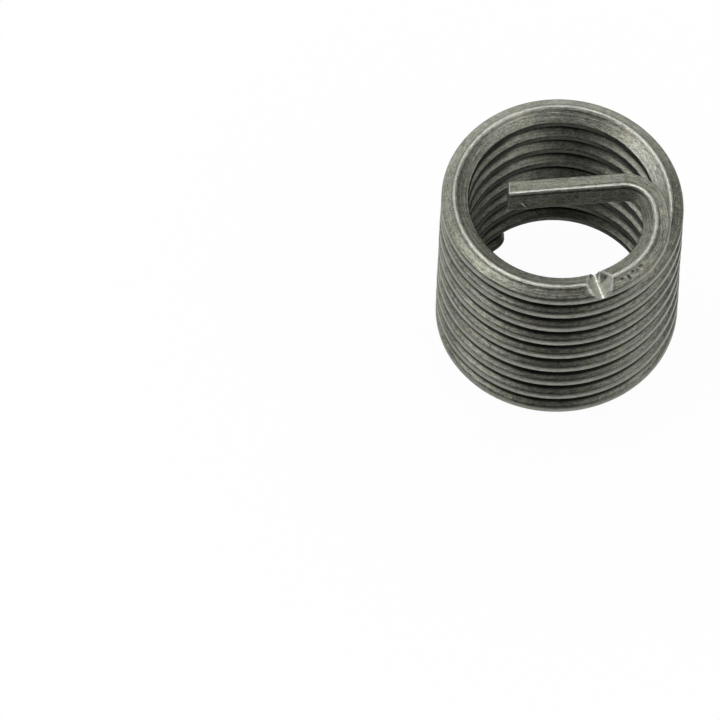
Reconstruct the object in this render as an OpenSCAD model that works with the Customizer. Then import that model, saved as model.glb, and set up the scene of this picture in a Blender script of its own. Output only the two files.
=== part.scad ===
// Wire thread insert: one length of rolled diamond-section wire, wound into a
// right-hand coil. The outer crests of its turns fit a tapped hole, the inner
// crests form the thread for a bolt, and the last end is bent across the bore
// as a driving tang, with a notch beside it where the tang breaks off.
// Millimetres, +Z along the coil's axis towards the tang end. The origin is on
// the axis, level with the lowest point of the coil.

/* [Coil] */
// Pitch of the coil, from crest to crest
pitch = 2; // [1.85:0.05:3]
// Full turns from the plain end to the start of the bend
coils = 8.5; // [3:0.5:12]
// Diameter of the coil over the widest line of its wire
coil_d = 16.54; // [14:0.02:24]
// Direction, seen from the tang end, in which the bend starts
bend_at = 312; // [0:6:354]

/* [Wire] */
// Width of the wire along the axis, at its widest line
wire_w = 1.75; // [1.6:0.01:1.82]
// How far the outer crest stands out from the widest line
outer_h = 0.97; // [0.7:0.01:1.2]
// How far the inner crest stands in from the widest line
inner_h = 1.12; // [0.7:0.01:1.25]
// Angle between the two flanks of a crest
thread_angle = 60; // [45:1:62]
// Width that is rounded off each corner of the section
corner_w = 0.1; // [0.04:0.01:0.2]

/* [Plain end] */
// Length over which the plain end of the wire is rounded off
nose_len = 1.2; // [0.6:0.1:2]
// Size of the wire at its very tip, as a part of its full size
nose_tip = 0.55; // [0.3:0.05:0.9]

/* [Tang] */
// Angle of the long first curve, where the wire leaves the coil
root_turn = 66; // [50:1:75]
// Angle of the tight second curve, which turns it across the bore
bend_turn = 81; // [70:1:90]
// Radius of the tight curve, at the middle of the wire
bend_r = 2.34; // [2:0.02:3]
// How far the tang's middle passes behind the coil's axis
tang_offset = 0.3; // [-0.5:0.05:1]
// Room between the tang's free end and the far side of the bore
tang_room = 3; // [1:0.1:5]
// How far the tang's free end stands above the end of the coil
tang_rise = 0.45; // [0.2:0.05:1]
// Angle by which the bend rolls the wire over about its own length
tang_roll = 23; // [0:1:30]

/* [Notch] */
// Direction of the break-off notch, before the start of the bend
notch_back = 20.3; // [15:0.1:30]
// Depth of the notch below the wire's top line
notch_depth = 1.07; // [0.5:0.01:1.2]
// Angle between the two sides of the notch
notch_angle = 80; // [60:1:100]

/* [Hidden] */

coil_r = coil_d / 2;
bore_r = coil_r - inner_h;
outer_r = coil_r + outer_h;
half_w = wire_w / 2;
flank = tan(thread_angle / 2);

// The coil stands on the lowest line of its first turn
coil_z0 = half_w;
coil_z1 = coil_z0 + pitch * coils;
coil_slope = pitch / (PI * coil_d);

// The bore is cut true up to this height, below the underside of the tang
bore_top = coil_z1 - half_w - pitch / 4;
bore_cut = 0.06;

// Rings along the wire
ring_step = 6;
coil_rings = ceil(coils * 360 / ring_step);
nose_rings = 4;
bend_rings = 10;

// The tight curve's end, and so the tang, passes tang_offset behind the axis
tang_turn = root_turn + bend_turn;
root_r = (tang_offset - coil_r * cos(tang_turn) - bend_r * (1 - cos(bend_turn)))
    / (cos(bend_turn) - cos(tang_turn));
root_centre = (coil_r - root_r) * dir(bend_at);
bend_centre = root_centre + (root_r - bend_r) * dir(bend_at + root_turn);
tang_start = bend_centre + bend_r * dir(bend_at + tang_turn);
tang_dir = dir(bend_at + tang_turn + 90);
along = tang_start * tang_dir;
tang_len = sqrt(bore_r * bore_r - tang_start * tang_start + along * along) - along - tang_room;
root_len = root_r * root_turn * PI / 180;
bend_len = bend_r * bend_turn * PI / 180;
lead_len = root_len + bend_len + tang_len;

function dir(a) = [cos(a), sin(a)];
function smooth(t) = t * t * (3 - 2 * t);

// Height of the wire's middle at a length s past the start of the bend
function lead_z(s) =
    coil_z1 + coil_slope * s * (1 - s / lead_len) + tang_rise * pow(s / lead_len, 2);

// A station is [middle of the wire, outward direction, roll, size, bore depth]
function coil_station(t) =
    let (a = bend_at - 360 * coils * (1 - t), z = coil_z0 + pitch * coils * t)
    [[coil_r * cos(a), coil_r * sin(a), z], a, 0, 1, z < bore_top + half_w ? bore_cut : 0];

function nose_station(t) =
    let (
        back = nose_len * t,
        a = bend_at - 360 * coils - back / coil_r * 180 / PI,
        size = nose_tip + (1 - nose_tip) * sqrt(1 - t * t)
    )
    [[coil_r * cos(a), coil_r * sin(a), coil_z0 - coil_slope * back], a, 0, size, bore_cut];

function arc_station(centre, r, a, s) =
    let (p = centre + r * dir(a))
    [[p.x, p.y, lead_z(s)], a, tang_roll * smooth(min(1, s / (root_len + bend_len))), 1, 0];

function tang_station(t) =
    let (p = tang_start + tang_len * t * tang_dir, s = root_len + bend_len + tang_len * t)
    [[p.x, p.y, lead_z(s)], bend_at + tang_turn, tang_roll, 1, 0];

stations = concat(
    [for (i = [nose_rings:-1:1]) nose_station(i / nose_rings)],
    [for (i = [0:coil_rings]) coil_station(i / coil_rings)],
    [for (i = [1:bend_rings])
        arc_station(root_centre, root_r, bend_at + root_turn * i / bend_rings,
            root_len * i / bend_rings)],
    [for (i = [1:bend_rings])
        arc_station(bend_centre, bend_r, bend_at + root_turn + bend_turn * i / bend_rings,
            root_len + bend_len * i / bend_rings)],
    [for (i = [1:2]) tang_station(i / 2)]
);

// Half the width of the wire at a distance r from the middle of its widest line
function half_at(r) = half_w - (r - corner_w) * flank;

// The wire's section, outward and up from its middle, with its corners taken off
function section(deep) =
    let (c = corner_w, o = outer_h, i = inner_h + deep)
    [
        [c, half_w], [o - c, half_at(o - c)], [o, half_at(o - c) - c],
        [o, c - half_at(o - c)], [o - c, -half_at(o - c)], [c, -half_w],
        [-c, -half_w], [-i, -half_at(i)], [-i, half_at(i)], [-c, half_w]
    ];

// The section's points at one station, rolled, sized and turned outward
function ring(s) =
    let (m = s[0], d = dir(s[1]), co = cos(s[2]), si = sin(s[2]))
    [for (p = section(s[4]) * s[3])
        let (out = p.x * co - p.y * si, up = p.x * si + p.y * co)
        [m.x + out * d.x, m.y + out * d.y, m.z + up]];

module swept_wire() {
    rings = [for (s = stations) ring(s)];
    n = len(rings[0]);
    last = len(rings) - 1;
    points = [for (r = rings) each r];
    sides = [for (k = [0:last - 1]) for (i = [0:n - 1])
        let (j = (i + 1) % n)
        each [[k * n + i, k * n + j, (k + 1) * n + j], [k * n + i, (k + 1) * n + j, (k + 1) * n + i]]];
    start = [[for (i = [n - 1:-1:0]) i]];
    end = [[for (i = [0:n - 1]) last * n + i]];
    polyhedron(points, concat(sides, start, end));
}

// The bore's wall is two true arcs, with a strip one ring wide where they meet
module bore() {
    h = bore_top + pitch;
    strip = bore_r * sin(ring_step / 2);
    translate([0, 0, -pitch])
        for (side = [0, 180])
            rotate([0, 0, side]) {
                rotate([0, 0, ring_step / 2])
                    rotate_extrude(angle = 180 - ring_step, $fn = 240)
                        square([bore_r, h]);
                translate([0, -strip, 0])
                    cube([bore_r * cos(ring_step / 2), 2 * strip, h]);
            }
}

// A V across the top of the last turn
module notch() {
    top = coil_z1 - pitch * notch_back / 360 + half_w;
    rim = 0.3;
    half = (notch_depth + rim) * tan(notch_angle / 2);
    rotate([0, 0, bend_at - notch_back])
        translate([bore_r - rim, 0, top])
            rotate([90, 0, 90])
                linear_extrude(outer_r - bore_r + 2 * rim)
                    polygon([[0, -notch_depth], [half, rim], [-half, rim]]);
}

module wire_coil() {
    color([0.46, 0.46, 0.42])
        difference() {
            swept_wire();
            bore();
            notch();
        }
}

wire_coil();
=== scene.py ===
"""A wire thread insert of rolled stainless wire, standing upright on a pale floor."""
import math

import bpy
import numpy as np
from mathutils import Matrix, Vector

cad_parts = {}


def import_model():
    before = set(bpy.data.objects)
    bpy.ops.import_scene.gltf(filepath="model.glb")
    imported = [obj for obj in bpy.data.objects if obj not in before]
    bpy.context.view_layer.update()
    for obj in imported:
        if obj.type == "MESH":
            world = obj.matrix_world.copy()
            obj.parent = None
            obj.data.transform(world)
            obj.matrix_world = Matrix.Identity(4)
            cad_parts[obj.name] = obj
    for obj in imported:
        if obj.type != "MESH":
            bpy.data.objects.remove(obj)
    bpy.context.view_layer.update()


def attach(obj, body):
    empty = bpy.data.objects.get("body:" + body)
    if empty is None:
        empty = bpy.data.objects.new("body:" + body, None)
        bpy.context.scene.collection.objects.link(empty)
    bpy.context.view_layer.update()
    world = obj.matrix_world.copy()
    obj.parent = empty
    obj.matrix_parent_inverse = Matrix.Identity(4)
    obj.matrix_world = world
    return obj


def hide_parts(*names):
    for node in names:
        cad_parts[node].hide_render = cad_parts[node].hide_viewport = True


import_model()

MM = 0.001

# The coil, in millimetres and degrees, as in the part's source
PITCH = 2.0
COILS = 8.5
COIL_R = 8.27
BEND_AT = 312.0
HALF_W = 0.875
OUTER_H = 0.97
INNER_H = 1.12
FLANK_ANGLE = 30.0
FLANK = math.tan(math.radians(FLANK_ANGLE))
TURN_LEN = 2 * math.pi * COIL_R

# The bend and the tang
ROOT_TURN = 66.0
BEND_TURN = 81.0
BEND_R = 2.34
TANG_OFFSET = 0.3
TANG_ROOM = 3.0
TANG_RISE = 0.45
TANG_ROLL = 23.0
END_SKEW = -7.0
END_SKEW_LEN = 1.5

# The plain end
NOSE_LEN = 1.2
NOSE_TIP = 0.5

# The break-off notch, across the top of the last turn
NOTCH_BACK = 20.3
NOTCH_S = -COIL_R * math.radians(NOTCH_BACK)
NOTCH_DEPTH = 1.07
NOTCH_FALL = 0.09
NOTCH_HALF_ANGLE = 40.0
NOTCH_SPREAD = math.tan(math.radians(NOTCH_HALF_ANGLE))
NOTCH_ROOT_R = 0.09
NOTCH_REACH = 1.4
BURR = 0.06
BURR_W = 0.12

# The hollow and the crease that the punch left in the notch, at the bore's side. Each
# start is (distance in from the wire's middle, distance over which it comes up)
DENT_AT = 0.42
DENT_W = 0.2
DENT_DEPTH = 0.09
DENT_START = (0.1, 0.6)
CREASE_W = 0.06
CREASE_H = 0.05
CREASE_START = (0.25, 0.3)
CREASE_TURN = (0.1, 1.0)

# Painted highlight in the notch: its root line, its crease, and its first and second side
ROOT_SHINE_W = 0.17
CREASE_SHINE = 0.9
CREASE_SHINE_W = 0.07
FIRST_SIDE_SHINE = 0.45
SECOND_SIDE_SHINE = 0.6
SECOND_SIDE_START = (-0.35, 0.4)
SIDE_START = (0.12, 0.12)

# Painted shade in the notch: a patch of painted reflection, and a line beside the crease
PATCH_SHADE = 0.9
PATCH_AT = 0.75
PATCH_W = 0.28
PATCH_START = (0.1, 0.3)
LINE_SHADE = 0.9
LINE_SHADE_AT = 0.17
LINE_SHADE_W = 0.06
LINE_SHADE_START = (0.5, 0.2)

# Slow waves of the winding, as (height, radians to a turn, start)
OUT_WAVES = [(0.012, 1.7, 0.0), (0.008, 7.1, 1.0)]
UP_WAVES = [(0.018, 2.1, 0.8), (0.012, 5.3, 2.0)]
STEADY_TURN = 0.5

# Rounding of the section's corners, and the hollow beside each ridge
RIDGE_R = 0.14
UPPER_CREST_R = 0.2
LOWER_CREST_R = 0.1
INNER_CREST_R = 0.12
HOLLOW_AT = 0.19
HOLLOW_W = 0.06
HOLLOW_DEPTH = 0.02

# Points on each rounded corner, and along each flank and each outer crest as shares of it
CORNER_POINTS = [9, 7, 5, 7, 5, 5]
FLANK_SHARES = [0.03, 0.09, 0.17, 0.28, 0.42, 0.6, 0.8, 0.96]
CREST_SHARES = [0.08, 0.4, 0.7, 0.92]

# Zones of the section that take painted shade or painted highlight: their places and widths,
# and for each crest (how far below it the zone starts, distance over which it comes up)
FLANK_FROM = 0.1
RIDGE_ZONE_W = 0.1
RIDGE_ZONE_FROM = 0.8 * HALF_W
CORNER_ZONE_W = 0.13
LOWER_CREST_AT = -0.2
LOWER_CREST_W = 0.22
LOWER_CREST_ZONE = (0.07, 0.05)
UPPER_CREST_ZONE = (0.12, 0.06)
UPPER_CREST_RISE = 0.12
INNER_CREST_ZONE = (0.09, 0.05)

# Rings in each stretch of the wire, from the plain end's tip to the tang's end
RING_COUNTS = [14, 960, 80, 34, 40, 24, 30]
ROOT_FINE = 1.5
TANG_FINE = 2.4

# Rims that close the two ends, as (share of the section, how far out)
TANG_RIMS = [(0.975, 0.03), (0.9, 0.035), (0.6, 0.03), (0.3, 0.035)]
NOSE_RIMS = [(0.93, 0.06), (0.8, 0.11), (0.5, 0.15), (0.2, 0.16)]
SHARP_ANGLE = 38.0

# Painted shade in a groove, for the shadow between the turns: how far it reaches from the ridge,
# and how dark it is, from 0 to 1
OUTER_REACH = 0.53
OUTER_REACH_LEFT = 0.16
OUTER_REACH_RIGHT = 0.08
INNER_REACH = 0.56
INNER_REACH_ASIDE = 0.23
SHADE_FADE = 0.08
SHADE_BAND = 0.3
SHADE_BAND_FADE = 0.1
DEEP_SHADE = 0.45
FACE_SHADE = 0.12
GROOVE_START = 0.06

# Painted shade: the thin dark line beside an open ridge, where its hollow turns from the light,
# on its outer side and its inner one
LINE_AT = 0.22
LINE_W = 0.055
OUTER_LINE = 0.6
INNER_LINE = 0.4
TANG_LINE = 0.9

# Painted shade on the corner and, as (at front and back, at the sides), on the upper half of
# the outer crest and on the inner crest, and a darker tone on the tang's outer flank. Each
# turn is (sideways share where the first gives way, share over which it does)
CORNER_SHADE = 0.22
TANG_DARKENING = 0.24
OUTER_CREST_SHADE = (0.8, 0.12)
OUTER_CREST_TURN = (0, 0.8)
INNER_CREST_SHADE = (0.12, 0.72)
INNER_CREST_TURN = (0.15, 0.5)
LEAD_BLEND = 2.0

# Painted highlight on the ridge, the outer crest, the inner flank at the right and the tang's
# end; on the ridge and the crest it is partly burnish
COIL_RIDGE_SHINE = 0.55
TANG_RIDGE_SHINE = 0.7
CREST_SHINE = 0.15
FLANK_SHINE = 0.14
FLANK_SHINE_AT = 25.0
FLANK_SHINE_W = 35.0
END_SHINE = 0.35
END_SHINE_LEN = 0.06

# Colours of the steel: its darkest and its lightest tone, each in two hues
DARK_STEEL = [(0.090, 0.097, 0.081, 1), (0.098, 0.098, 0.076, 1)]
LIGHT_STEEL = [(0.362, 0.378, 0.316, 1), (0.378, 0.374, 0.300, 1)]
# Colour and cover of the painted shade, and colour of the painted highlight
SHADE_COLOUR = (0.012, 0.012, 0.010, 1)
SHADE_COVER = 0.96
SHINE_COLOUR = (0.76, 0.76, 0.71, 1)
BUMP_MM = 0.032

# Spans of the steel's noise, as (low, high) or (low, high, result at low, result at high)
TONE_SPAN = (0.42, 0.58)
HUE_SPAN = (0.42, 0.66)
SHINE_SPAN = (0.38, 0.6, 0.5, 1.0)
ROUGH_SPAN = (0.3, 0.7, 0.28, 0.40)
LINE_ROUGHNESS = 0.2

# The floor: its half size in metres, and how white it is to the camera and to reflections,
# as (distance, further distance, share at the first, share at the second)
FLOOR_HALF = 0.13
FLOOR_PAINT = (0.8, 0.8, 0.8, 1)
FLOOR_SEEN = (0.02, 0.06, 0.97, 1.0)
FLOOR_NEAR = (0.009, 0.0105, 0.1, 0.72)
FLOOR_FAR = (0.022, 0.04, 1.0, 0.4)

# The studio's walls: darker towards the camera, and brighter towards GLOW_WAY
WALL_SPAN = (0.55, 0.96, 1.0, 0.33)
GLOW_SPAN = (0.2, 0.95, 0.26, 1.75)
GLOW_WAY = (-0.4, 0.87, -0.2)

# Softboxes, as (name, place in metres, width, height, watts), and the point that they face
SOFTBOXES = [
    ("top_softbox", (-0.06, 0.16, 0.75), 1.2, 0.3, 3.4),
    ("left_softbox", (-0.6, -0.2, 0.74), 0.4, 0.4, 1.5),
    ("right_softbox", (0.5, -0.25, 0.62), 0.4, 0.4, 1.2),
]
LIT_POINT = (0, 0, 0.01)

# Camera: the photograph's frame, its view and where the coil's axis stands in it
PHOTO_PX = 720
MM_PER_PX = 0.07619
AXIS_PX = (562.46, 193.2)
AXIS_Z = 18.517
ELEVATION = 59.45
ROLL = -2.80
CAMERA_DISTANCE = 2.4
MID_DEPTH = 8.0
SENSOR = 36.0
CLIP_END = 20


def direction(degrees):
    a = np.radians(degrees)
    return np.stack([np.cos(a), np.sin(a)], axis=-1)


def smooth(t):
    t = np.clip(t, 0, 1)
    return t * t * (3 - 2 * t)


def step(value, start, width):
    """0 up to start, 1 past start + width, and a soft step between."""
    return smooth((value - start) / width)


def blend(ends, share):
    """From the first of two ends to the second."""
    return ends[0] + (ends[1] - ends[0]) * share


def gauss(x, width):
    return np.exp(-(x / width) ** 2)


class Path:
    """The line along the middle of the wire.

    Its length s counts from the start of the bend, and is negative on the coil.
    """

    def __init__(self):
        turn = ROOT_TURN + BEND_TURN
        cos_turn = math.cos(math.radians(turn))
        cos_bend = math.cos(math.radians(BEND_TURN))
        to_tang = TANG_OFFSET - COIL_R * cos_turn - BEND_R * (1 - cos_bend)
        self.root_r = to_tang / (cos_bend - cos_turn)
        self.root_centre = (COIL_R - self.root_r) * direction(BEND_AT)
        to_bend = (self.root_r - BEND_R) * direction(BEND_AT + ROOT_TURN)
        self.bend_centre = self.root_centre + to_bend
        self.tang_start = self.bend_centre + BEND_R * direction(BEND_AT + turn)
        self.tang_dir = direction(BEND_AT + turn + 90)
        along = self.tang_start @ self.tang_dir
        bore_r = COIL_R - INNER_H
        reach = math.sqrt(bore_r ** 2 - self.tang_start @ self.tang_start + along ** 2)
        tang_len = reach - along - TANG_ROOM
        self.root_len = self.root_r * math.radians(ROOT_TURN)
        self.bend_end = self.root_len + BEND_R * math.radians(BEND_TURN)
        self.lead_len = self.bend_end + tang_len
        self.coil_len = COILS * TURN_LEN
        self.slope = PITCH / TURN_LEN
        self.z1 = HALF_W + PITCH * COILS

    def at(self, s):
        """Middle of the wire, outward angle, roll and size at each length in s."""
        turned = BEND_AT + np.degrees(s / COIL_R)
        middle = np.empty((len(s), 3))
        middle[:, :2] = COIL_R * direction(turned)
        middle[:, 2] = self.z1 + self.slope * s
        angle = turned.copy()

        root = (s > 0) & (s <= self.root_len)
        angle[root] = BEND_AT + np.degrees(s[root] / self.root_r)
        middle[root, :2] = self.root_centre + self.root_r * direction(angle[root])

        bend = (s > self.root_len) & (s <= self.bend_end)
        angle[bend] = BEND_AT + ROOT_TURN + np.degrees((s[bend] - self.root_len) / BEND_R)
        middle[bend, :2] = self.bend_centre + BEND_R * direction(angle[bend])

        tang = s > self.bend_end
        angle[tang] = BEND_AT + ROOT_TURN + BEND_TURN
        run = s[tang] - self.bend_end
        middle[tang, :2] = self.tang_start + run[:, None] * self.tang_dir

        lead = s > 0
        t = s[lead] / self.lead_len
        middle[lead, 2] = self.z1 + self.slope * s[lead] * (1 - t) + TANG_RISE * t ** 2
        roll = np.where(lead, TANG_ROLL * smooth(s / self.bend_end), 0.0)

        back = np.clip((-self.coil_len - s) / NOSE_LEN, 0, 1)
        size = NOSE_TIP + (1 - NOSE_TIP) * np.sqrt(1 - back ** 2)
        return middle, angle, roll, size


def corner_at(corners, k):
    """One corner, the directions to its two neighbours, and half the angle between them."""
    n = len(corners)
    here, before, after = (np.array(corners[j % n], float) for j in (k, k - 1, k + 1))
    to_before = (before - here) / np.linalg.norm(before - here)
    to_after = (after - here) / np.linalg.norm(after - here)
    half = math.acos(np.clip(to_before @ to_after, -1, 1)) / 2
    return here, to_before, to_after, half


def rounded(corners, radii, counts, between):
    """A closed outline with its corners rounded, and extra points on its straight stretches."""
    outline = []
    for k, radius in enumerate(radii):
        here, to_before, to_after, half = corner_at(corners, k)
        inward = (to_before + to_after) / np.linalg.norm(to_before + to_after)
        middle = here + inward * radius / math.sin(half)
        first = here + to_before * radius / math.tan(half) - middle
        last = here + to_after * radius / math.tan(half) - middle
        sweep = math.pi - 2 * half
        for t in np.linspace(0, 1, counts[k]):
            spoke = first * math.sin((1 - t) * sweep) + last * math.sin(t * sweep)
            outline.append(middle + spoke / math.sin(sweep))
        there, to_here, _, half = corner_at(corners, k + 1)
        start = outline[-1]
        end = there + to_here * radii[(k + 1) % len(radii)] / math.tan(half)
        outline += [start + (end - start) * t for t in between[k]]
    return np.array(outline)


def crest_zone(height, crest, zone):
    """1 at a crest, and 0 below its zone."""
    below, rise = zone
    return step(height, crest - below, rise)


class Section:
    """The rolled section, as points (out, up) from the top ridge outward, down and round."""

    def __init__(self):
        top = HALF_W + RIDGE_R * (1 / math.cos(math.radians(FLANK_ANGLE)) - 1)
        outer = top - OUTER_H * FLANK
        inner = top - INNER_H * FLANK
        corners = [
            (0, top), (OUTER_H, outer), (OUTER_H, -outer),
            (0, -top), (-INNER_H, -inner), (-INNER_H, inner),
        ]
        radii = [RIDGE_R, UPPER_CREST_R, LOWER_CREST_R, RIDGE_R, INNER_CREST_R, INNER_CREST_R]
        back = [1 - t for t in reversed(FLANK_SHARES)]
        between = [FLANK_SHARES, CREST_SHARES, back] * 2
        points = rounded(corners, radii, CORNER_POINTS, between)
        # The outline starts at the middle of the top ridge
        points = np.roll(points, -(CORNER_POINTS[0] // 2), axis=0)
        edge = np.roll(points, -1, axis=0) - np.roll(points, 1, axis=0)
        normal = np.stack([edge[:, 1], -edge[:, 0]], axis=1)
        self.normal = normal / np.linalg.norm(normal, axis=1)[:, None]
        out, up = points.T
        self.from_ridge = np.abs(out)
        hollow = HOLLOW_DEPTH * gauss(self.from_ridge - HOLLOW_AT, HOLLOW_W)
        self.points = points - self.normal * hollow[:, None]
        self.count = len(points)
        lengths = np.linalg.norm(np.roll(self.points, -1, axis=0) - self.points, axis=1)
        self.around = np.concatenate([[0], np.cumsum(lengths)])

        # Where the painted shade and the painted highlight lie
        self.outward = self.points[:, 0] > 0
        self.upper = up > 0
        self.outer_flank = self.upper & (out > FLANK_FROM)
        self.inner_flank = self.upper & (out < -FLANK_FROM)
        self.ridge = gauss(self.from_ridge, RIDGE_ZONE_W) * (np.abs(up) > RIDGE_ZONE_FROM)
        self.corner = gauss(np.hypot(out - OUTER_H, up - outer), CORNER_ZONE_W)
        self.lower_crest = crest_zone(out, OUTER_H, LOWER_CREST_ZONE)
        self.lower_crest *= gauss(up - LOWER_CREST_AT, LOWER_CREST_W)
        self.upper_crest = crest_zone(out, OUTER_H, UPPER_CREST_ZONE)
        self.upper_crest *= step(up, 0, UPPER_CREST_RISE)
        self.inner_crest = crest_zone(-out, INNER_H, INNER_CREST_ZONE)


def wobble(s):
    """Small departures of a wound coil from a true helix: (outward, up)."""
    turn = s / TURN_LEN
    fade = step(-turn, 0, STEADY_TURN)
    return [
        fade * sum(height * np.sin(rate * turn + start) for height, rate, start in waves)
        for waves in (OUT_WAVES, UP_WAVES)
    ]


def ring_places(path):
    """Where the rings stand along the wire: close together where the surface has small forms."""
    stops = [
        -path.coil_len - NOSE_LEN,
        -path.coil_len,
        NOTCH_S - NOTCH_REACH,
        NOTCH_S + NOTCH_REACH,
        ROOT_FINE,
        path.bend_end,
        path.lead_len - TANG_FINE,
        path.lead_len,
    ]
    parts = [
        np.linspace(start, end, count, endpoint=end == stops[-1])
        for start, end, count in zip(stops, stops[1:], RING_COUNTS)
    ]
    return np.concatenate(parts)


def cut_notch(points, up_limit):
    """Cuts the top off one ring at up_limit, and spreads the points above it over the cut."""
    above = points[:, 1] > up_limit
    if not above.any():
        return points, above
    n = len(points)
    # The top ridge is point 0, so the cut stretch runs through it
    order = np.arange(-(n // 2), n - n // 2)
    hit = order[above[order]]
    first, last = hit[0], hit[-1]

    def crossing(inside, outside):
        a, b = points[inside], points[outside % n]
        t = (a[1] - up_limit) / (a[1] - b[1])
        return a[0] + t * (b[0] - a[0])

    low = crossing(first, first - 1)
    high = crossing(last, last + 1)
    cut = points.copy()
    span = points[last, 0] - points[first, 0]
    for k in hit:
        share = (points[k, 0] - points[first, 0]) / span if span else 0.5
        cut[k] = (low + share * (high - low), up_limit)
    return cut, above


def notch_height(across):
    """Height of the notch's surface over its root line, at a distance across from it."""
    return (math.hypot(across, NOTCH_ROOT_R) - NOTCH_ROOT_R) / NOTCH_SPREAD


def crease_across(out):
    """How far the crease has left the root line, as it runs into the bore."""
    return DENT_AT * step(-out, *CREASE_TURN)


def notch_dents(across, out):
    """Height of the marks in the notch: a hollow and a crease at the bore's side."""
    hollow = -DENT_DEPTH * gauss(across - DENT_AT, DENT_W) * step(-out, *DENT_START)
    crease = CREASE_H * gauss(across - crease_across(out), CREASE_W)
    return hollow + crease * step(-out, *CREASE_START)


def notch_shine(across, out):
    """How bright the notch's painted highlight is: its root line, its crease and its two sides.
    """
    root = gauss(across, ROOT_SHINE_W)
    crease = CREASE_SHINE * gauss(across - crease_across(out), CREASE_SHINE_W)
    crease *= step(-out, *CREASE_START)
    first_side = FIRST_SIDE_SHINE * step(-across, *SIDE_START)
    second_side = SECOND_SIDE_SHINE * step(across, *SIDE_START) * step(out, *SECOND_SIDE_START)
    return np.clip(root + crease + first_side + second_side, 0, 1)


def notch_shade(across, out):
    """How dark the painted shade is in the notch: a patch of painted reflection, and a line
    beside the crease.
    """
    patch = PATCH_SHADE * gauss(across - PATCH_AT, PATCH_W) * step(-out, *PATCH_START)
    line = LINE_SHADE * gauss(across - LINE_SHADE_AT, LINE_SHADE_W) * step(-out, *LINE_SHADE_START)
    return np.clip(patch + line, 0, 1)


def painted_shade_and_highlight(path, section, s, angle):
    """Painted shade and painted highlight of the wire, a row to a ring, before the notch is cut.
    """
    # The top of the last turn and the underside of the first lie open, and the rest is in grooves
    turn = s / TURN_LEN
    start = 1 - GROOVE_START / 2
    shut_above = step(-turn, start, GROOVE_START)
    shut_below = step(turn + COILS, start, GROOVE_START)
    shut = np.where(section.upper, shut_above[:, None], shut_below[:, None])
    on_coil = step(-s, 0, LEAD_BLEND)[:, None]
    on_tang = step(s, path.root_len, LEAD_BLEND)[:, None]

    # The painted shade is darkest near its edge, which lies further from the ridge at the coil's
    # sides
    rightward = np.cos(np.radians(angle))[:, None]
    aside = np.abs(rightward)
    outer = OUTER_REACH + np.where(rightward < 0, OUTER_REACH_LEFT, OUTER_REACH_RIGHT) * aside
    inner = INNER_REACH + INNER_REACH_ASIDE * aside ** 2
    reach = np.where(section.outward, outer, inner)
    painted_shade = blend((1, FACE_SHADE), step(section.from_ridge, reach, SHADE_FADE))
    band = step(section.from_ridge, reach - SHADE_BAND, SHADE_BAND_FADE)
    painted_shade = painted_shade * blend((DEEP_SHADE, 1), band) * shut
    # Painted shade: a thin dark line beside each open ridge
    line = np.where(section.outward, OUTER_LINE, blend((INNER_LINE, TANG_LINE), on_tang))
    painted_shade += (1 - shut) * line * gauss(section.from_ridge - LINE_AT, LINE_W)
    # Painted shade on the corner and the crests, by where they stand round the coil, and a darker
    # tone on the tang's outer flank
    for layer in (
        on_coil * CORNER_SHADE * section.corner,
        on_coil * blend(OUTER_CREST_SHADE, step(aside, *OUTER_CREST_TURN)) * section.upper_crest,
        on_coil * blend(INNER_CREST_SHADE, step(aside, *INNER_CREST_TURN)) * section.inner_crest,
        on_tang * TANG_DARKENING * section.outer_flank,
    ):
        painted_shade = np.maximum(painted_shade, layer)

    # Painted highlight on the open ridge, the lower outer crest and the inner flank at the right;
    # partly burnish on the ridge and the crest
    bright = (1 - shut) * section.ridge * blend((COIL_RIDGE_SHINE, TANG_RIDGE_SHINE), on_tang)
    bright = np.maximum(bright, CREST_SHINE * section.lower_crest)
    at_right = gauss(angle - FLANK_SHINE_AT, FLANK_SHINE_W)[:, None]
    bright = np.maximum(bright, FLANK_SHINE * at_right * section.inner_flank)
    return painted_shade, bright


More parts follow.
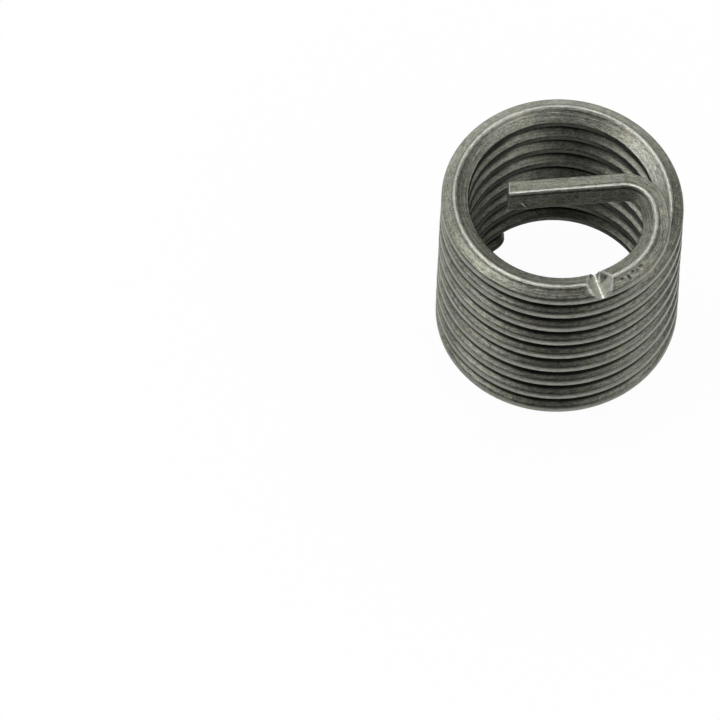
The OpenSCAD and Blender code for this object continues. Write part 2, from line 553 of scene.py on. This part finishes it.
def sweep_section(path, section):
    """Length, points, painted shade and painted highlight of each ring, and the outward angle at
    the plain end.
    """
    s = ring_places(path)
    middle, angle, roll, size = path.at(s)
    radial = direction(angle)
    lift_out, lift_up = wobble(s)
    middle[:, :2] += lift_out[:, None] * radial
    middle[:, 2] += lift_up
    painted_shade, bright = painted_shade_and_highlight(path, section, s, angle)
    notch_root = path.z1 + path.slope * NOTCH_S + HALF_W - NOTCH_DEPTH

    points = np.empty((len(s), section.count, 3))
    for k in range(len(s)):
        flat = section.points * size[k]
        across = s[k] - NOTCH_S
        if abs(across) < NOTCH_REACH:
            limit = notch_root + notch_height(across) - middle[k, 2]
            burr = gauss((flat[:, 1] - limit) * NOTCH_SPREAD, BURR_W)
            flat, above = cut_notch(flat, limit)
            out = flat[above, 0]
            flat[above, 1] -= NOTCH_FALL * out - notch_dents(across, out)
            flat[~above] += section.normal[~above] * BURR * burr[~above, None]
            # The notch takes its painted highlight and painted shade, and its burr a painted
            # highlight
            bright[k] = np.where(above, notch_shine(across, flat[:, 0]), bright[k])
            bright[k] = np.maximum(bright[k], burr)
            painted_shade[k] = np.where(above, notch_shade(across, flat[:, 0]), painted_shade[k])
        cos_roll = math.cos(math.radians(roll[k]))
        sin_roll = math.sin(math.radians(roll[k]))
        out = flat[:, 0] * cos_roll - flat[:, 1] * sin_roll
        up = flat[:, 0] * sin_roll + flat[:, 1] * cos_roll
        points[k, :, :2] = middle[k, :2] + out[:, None] * radial[k]
        points[k, :, 2] = middle[k, 2] + up
    # Painted highlight on the tang's end
    bright[s > path.lead_len - END_SHINE_LEN] = END_SHINE

    # The shears left the tang's end a few degrees out of square
    near_end = step(s, path.lead_len - END_SKEW_LEN, END_SKEW_LEN)
    lean = math.tan(math.radians(END_SKEW)) * section.points[:, 0]
    points[:, :, :2] += (near_end[:, None] * lean)[:, :, None] * path.tang_dir
    return s, points, painted_shade, bright, angle[0]


def side_faces(s, around):
    """The quads between the rings, and each corner's place on the unrolled wire."""
    rings = len(s)
    n = len(around) - 1
    index = np.arange(rings * n).reshape(rings, n)
    beside = np.roll(index, -1, axis=1)
    quads = np.stack([index[1:], beside[1:], beside[:-1], index[:-1]], axis=-1)
    u0 = np.repeat(s[:-1], n)
    u1 = np.repeat(s[1:], n)
    v0 = np.tile(around[:-1], rings - 1)
    v1 = np.tile(around[1:], rings - 1)
    places = np.stack([u1, v0, u1, v1, u0, v1, u0, v0], axis=-1)
    return quads.reshape(-1, 4).tolist(), places.reshape(-1, 2).tolist()


def cap(loop, index, count, around, tip_s, outward, rims, order):
    """Points, faces and places that close one end, with rims that shrink to its middle.

    loop is the end's last ring, index its points' numbers, and count the next number. The
    order of a face's corners is 1, or -1 where they run the other way.
    """
    centre = loop.mean(axis=0)
    n = len(loop)
    points = []
    faces = []
    places = []
    for inset, out in rims:
        points.append(centre + (loop - centre) * inset + outward * out)
        rim = np.arange(count, count + n)
        count += n
        for i in range(n):
            j = (i + 1) % n
            face = [index[i], index[j], rim[j], rim[i]]
            corners = [
                (tip_s, around[i]), (tip_s, around[i + 1]),
                (tip_s + inset, around[i + 1]), (tip_s + inset, around[i]),
            ]
            faces.append(face[::order])
            places += corners[::order]
        index = rim
    points.append((centre + outward * rims[-1][1])[None])
    for i in range(n):
        face = [index[i], index[(i + 1) % n], count]
        corners = [(tip_s, around[i]), (tip_s, around[i + 1]), (tip_s + 1, around[i])]
        faces.append(face[::order])
        places += corners[::order]
    return points, faces, places


def build_wire(path, section):
    s, rings, painted_shade, bright, nose_angle = sweep_section(path, section)
    faces, places = side_faces(s, section.around)
    points = [rings.reshape(-1, 3)]
    tang_out = np.array([*path.tang_dir, 0.0])
    nose_out = np.array([*direction(nose_angle - 90), -path.slope])
    for ring, tip_s, outward, rims, order in (
        (len(s) - 1, path.lead_len, tang_out, TANG_RIMS, -1),
        (0, -path.coil_len - 1, nose_out, NOSE_RIMS, 1),
    ):
        index = ring * section.count + np.arange(section.count)
        count = sum(len(part) for part in points)
        closing = cap(rings[ring], index, count, section.around, tip_s, outward, rims, order)
        points += closing[0]
        faces += closing[1]
        places += closing[2]

    points = np.concatenate(points) * MM
    mesh = bpy.data.meshes.new("insert_wire")
    mesh.from_pydata(points.tolist(), [], faces)
    mesh.update()
    layer = mesh.uv_layers.new(name="along_wire")
    layer.uv.foreach_set("vector", np.array(places, dtype=np.float32).ravel())
    # The painted highlight and the painted shade go to the material as attributes
    for name, values in (("bright", bright), ("painted_shade", painted_shade)):
        data = np.zeros(len(points), dtype=np.float32)
        data[:values.size] = values.ravel()
        mesh.attributes.new(name, "FLOAT", "POINT").data.foreach_set("value", data)
    mesh.shade_smooth()
    mesh.set_sharp_from_angle(angle=math.radians(SHARP_ANGLE))
    wire = bpy.data.objects.new("insert_wire", mesh)
    bpy.context.scene.collection.objects.link(wire)
    return wire


class Nodes:
    """A short way to write a node tree."""

    def __init__(self, tree):
        self.tree = tree
        tree.nodes.clear()

    def add(self, kind, inputs=None, **settings):
        node = self.tree.nodes.new("ShaderNode" + kind)
        for name, value in settings.items():
            setattr(node, name, value)
        for name, value in (inputs or {}).items():
            socket = node.inputs[name]
            if isinstance(value, bpy.types.NodeSocket):
                self.tree.links.new(value, socket)
            else:
                socket.default_value = value
        return node

    def math(self, operation, a, b=0.0):
        return self.add("Math", {0: a, 1: b}, operation=operation).outputs[0]

    def span(self, value, low, high, at_low=0.0, at_high=1.0):
        """Maps low to at_low and high to at_high, and holds what lies outside."""
        limits = {"From Min": low, "From Max": high, "To Min": at_low, "To Max": at_high}
        return self.add("MapRange", {"Value": value, **limits}).outputs["Result"]

    def mix(self, factor, a, b):
        return self.add("Mix", {0: factor, 6: a, 7: b}, data_type="RGBA").outputs[2]

    def total(self, *parts):
        """The sum of (value, weight) pairs."""
        products = [self.math("MULTIPLY", value, weight) for value, weight in parts]
        result = products[0]
        for product in products[1:]:
            result = self.math("ADD", result, product)
        return result

    def strokes(self, along, marks):
        """The strongest of some soft slanted strokes, each 0 to 1."""
        split = self.add("SeparateXYZ", {0: along})
        result = 0.0
        for s, v, size, width, slant, strength in marks:
            du = self.math("SUBTRACT", split.outputs["X"], s)
            dv = self.math("SUBTRACT", split.outputs["Y"], v)
            cos_slant = math.cos(math.radians(slant))
            sin_slant = math.sin(math.radians(slant))
            a = self.total((du, cos_slant / size), (dv, sin_slant / size))
            b = self.total((du, -sin_slant / width), (dv, cos_slant / width))
            a_squared = self.math("MULTIPLY", a, a)
            b_squared = self.math("MULTIPLY", b, b)
            falloff = self.math("EXPONENT", self.total((a_squared, -1.0), (b_squared, -1.0)))
            stroke = self.math("MULTIPLY", falloff, abs(strength))
            result = self.math("MAXIMUM", stroke, result)
        return result

    def noise(self, where, scale, detail, stretch=(1, 1, 1), rough=0.55):
        mapped = self.add("Mapping", {"Vector": where, "Scale": stretch}).outputs[0]
        inputs = {"Vector": mapped, "Scale": scale, "Detail": detail, "Roughness": rough}
        return self.add("TexNoise", inputs).outputs[0]


def wire_marks(section, path):
    """Small marks on the wire: a nick near the tang's end, drawn as a painted glint beside a dark
    stroke, and lighter and darker scuffs beside the notch.

    Each is (length along the wire, distance round it, size, width, slant, brightness).
    """
    end = path.lead_len
    whole = section.around[-1]
    return [
        (end - 1.08, whole - 1.0, 0.26, 0.06, 50, 0.9),
        (end - 1.3, whole - 1.02, 0.2, 0.08, 50, -0.8),
        (-1.25, 0.5, 0.16, 0.1, 20, -0.7),
        (-0.75, 0.6, 0.22, 0.08, 75, -0.9),
        (-0.52, 0.58, 0.2, 0.05, 75, 0.5),
        (-0.3, 0.42, 0.16, 0.1, 60, -0.9),
        (0.02, 0.52, 0.2, 0.08, 60, -0.7),
        (0.2, 0.5, 0.22, 0.05, 65, 0.7),
        (0.42, 0.44, 0.16, 0.1, 40, -0.9),
    ]


def steel_material(marks):
    """Drawn and rolled stainless wire: satin, with lengthwise lines, a mottled tone, painted
    shade and painted highlights.
    """
    material = bpy.data.materials.new("satin_wire")
    material.use_nodes = True
    n = Nodes(material.node_tree)
    along = n.add("UVMap", uv_map="along_wire").outputs[0]
    where = n.add("TexCoord").outputs["Object"]
    bright = n.add("Attribute", attribute_name="bright").outputs["Fac"]
    painted_shade = n.add("Attribute", attribute_name="painted_shade").outputs["Fac"]

    # Noise on the unrolled wire, in millimetres, stretched along it or across it
    die_lines = n.noise(along, 1.0, 4, (0.12, 6.0, 1))
    fine_lines = n.noise(along, 1.0, 3, (0.6, 20.0, 1))
    fibre = n.noise(along, 1.0, 3, (2.2, 8.5, 1), rough=0.65)
    chatter = n.noise(along, 1.0, 2, (2.4, 0.7, 1))
    # Noise in space, in metres
    grain = n.noise(where, 9000, 2, rough=0.7)
    mottle = n.noise(where, 2600, 4, rough=0.6)
    patches = n.noise(where, 700, 3)
    tint = n.noise(where, 900, 2)

    tone = n.total(
        (die_lines, 0.22), (fibre, 0.26), (chatter, 0.06),
        (mottle, 0.12), (grain, 0.24), (patches, 0.10),
    )
    hue = n.span(tint, *HUE_SPAN)
    colour = n.mix(n.span(tone, *TONE_SPAN), n.mix(hue, *DARK_STEEL), n.mix(hue, *LIGHT_STEEL))
    # Lighter strokes: the nick's painted glint and the light scuffs
    glint_and_light_scuffs = n.strokes(along, [m for m in marks if m[-1] > 0])
    dark_marks = n.strokes(along, [m for m in marks if m[-1] < 0])
    # Painted shade darkens the steel towards black, and painted highlight lightens it
    painted_shade = n.math("MAXIMUM", painted_shade, dark_marks)
    colour = n.mix(n.math("MULTIPLY", painted_shade, SHADE_COVER), colour, SHADE_COLOUR)
    bright = n.math("MAXIMUM", bright, glint_and_light_scuffs)
    shine = n.math("MULTIPLY", bright, n.span(fibre, *SHINE_SPAN))
    colour = n.mix(shine, colour, SHINE_COLOUR)

    line_rough = n.math("MULTIPLY", n.math("SUBTRACT", fine_lines, 0.5), LINE_ROUGHNESS)
    rough = n.math("ADD", n.span(mottle, *ROUGH_SPAN), line_rough)

    height = n.total(
        (die_lines, 0.8), (fine_lines, 0.5), (fibre, 0.7), (mottle, 0.4), (grain, 0.4),
    )
    height = n.math("ADD", height, n.math("SUBTRACT", glint_and_light_scuffs, dark_marks))
    relief = {"Height": height, "Strength": 1.0, "Distance": BUMP_MM * MM}
    bump = n.add("Bump", relief).outputs[0]

    shader = n.add("BsdfPrincipled", {
        "Base Color": colour, "Metallic": 1.0, "Roughness": rough, "Normal": bump,
    })
    n.add("OutputMaterial", {"Surface": shader.outputs[0]})
    return material


def floor():
    """A pale floor, white where the camera sees it, that keeps the part's soft shadow."""
    mesh = bpy.data.meshes.new("floor")
    signs = [(-1, -1), (1, -1), (1, 1), (-1, 1)]
    corners = [(x * FLOOR_HALF, y * FLOOR_HALF, 0) for x, y in signs]
    mesh.from_pydata(corners, [], [(0, 1, 2, 3)])
    plane = bpy.data.objects.new("floor", mesh)
    bpy.context.scene.collection.objects.link(plane)
    material = bpy.data.materials.new("floor_paint")
    material.use_nodes = True
    n = Nodes(material.node_tree)
    lit = n.add("BsdfDiffuse", {"Color": FLOOR_PAINT}).outputs[0]
    white = n.add("Emission", {"Color": (1, 1, 1, 1), "Strength": 1.0}).outputs[0]
    where = n.add("TexCoord").outputs["Object"]
    away = n.add("VectorMath", {0: where}, operation="LENGTH").outputs["Value"]
    ray = n.add("LightPath").outputs
    seen = n.math("MULTIPLY", ray["Is Camera Ray"], n.span(away, *FLOOR_SEEN))
    mirrored = n.math("MAXIMUM", ray["Is Glossy Ray"], ray["Is Transmission Ray"])
    share = n.math("MULTIPLY", n.span(away, *FLOOR_NEAR), n.span(away, *FLOOR_FAR))
    whiteness = n.math("MAXIMUM", seen, n.math("MULTIPLY", mirrored, share))
    shader = n.add("MixShader", {0: whiteness, 1: lit, 2: white})
    n.add("OutputMaterial", {"Surface": shader.outputs[0]})
    mesh.materials.append(material)


def world():
    """A pale studio, brighter at the left and back, and darker in front and above."""
    sky = bpy.data.worlds.new("studio")
    bpy.context.scene.world = sky
    sky.use_nodes = True
    n = Nodes(sky.node_tree)
    toward = n.add("TexCoord").outputs["Generated"]

    def facing(way):
        product = n.add("VectorMath", {0: toward, 1: way}, operation="DOT_PRODUCT")
        return product.outputs["Value"]

    el = math.radians(ELEVATION)
    wall = n.span(facing((0, -math.cos(el), math.sin(el))), *WALL_SPAN)
    glow = n.span(facing(GLOW_WAY), *GLOW_SPAN)
    seen = n.add("LightPath").outputs["Is Camera Ray"]
    strength = n.math("MAXIMUM", n.math("MULTIPLY", wall, glow), seen)
    shader = n.add("Background", {"Color": (1, 1, 1, 1), "Strength": strength})
    n.add("OutputWorld", {"Surface": shader.outputs[0]})


def softbox(name, place, width, height, power):
    """An area lamp at place, in metres, aimed at the part."""
    data = bpy.data.lights.new(name, "AREA")
    data.shape = "RECTANGLE"
    data.size = width
    data.size_y = height
    data.energy = power
    lamp = bpy.data.objects.new(name, data)
    lamp.location = place
    aim = Vector(LIT_POINT) - Vector(place)
    lamp.rotation_euler = aim.to_track_quat("-Z", "Y").to_euler()
    bpy.context.scene.collection.objects.link(lamp)


def camera():
    """The photograph's view, from far off, so that it is close to parallel."""
    el = math.radians(ELEVATION)
    roll = math.radians(ROLL)
    across = Vector((1, 0, 0))
    upward = Vector((0, math.sin(el), math.cos(el)))
    right = across * math.cos(roll) - upward * math.sin(roll)
    up = across * math.sin(roll) + upward * math.cos(roll)
    back = right.cross(up)
    middle_px = PHOTO_PX / 2
    target = Vector((0, 0, AXIS_Z))
    target -= right * (AXIS_PX[0] - middle_px) * MM_PER_PX
    target -= up * (middle_px - AXIS_PX[1]) * MM_PER_PX
    data = bpy.data.cameras.new("camera")
    data.sensor_width = SENSOR
    data.lens = SENSOR * CAMERA_DISTANCE / (PHOTO_PX * MM_PER_PX * MM)
    data.clip_end = CLIP_END
    cam = bpy.data.objects.new("camera", data)
    axes = Matrix((right, up, back)).transposed().to_4x4()
    place = target * MM + back * (CAMERA_DISTANCE - MID_DEPTH * MM)
    cam.matrix_world = Matrix.Translation(place) @ axes
    bpy.context.scene.collection.objects.link(cam)
    bpy.context.scene.camera = cam


camera()
world()
floor()
for box in SOFTBOXES:
    softbox(*box)

path = Path()
section = Section()
wire = build_wire(path, section)
wire.data.materials.append(steel_material(wire_marks(section, path)))
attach(wire, "root")
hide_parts("wire_coil")

bpy.context.scene.view_settings.view_transform = "Standard"
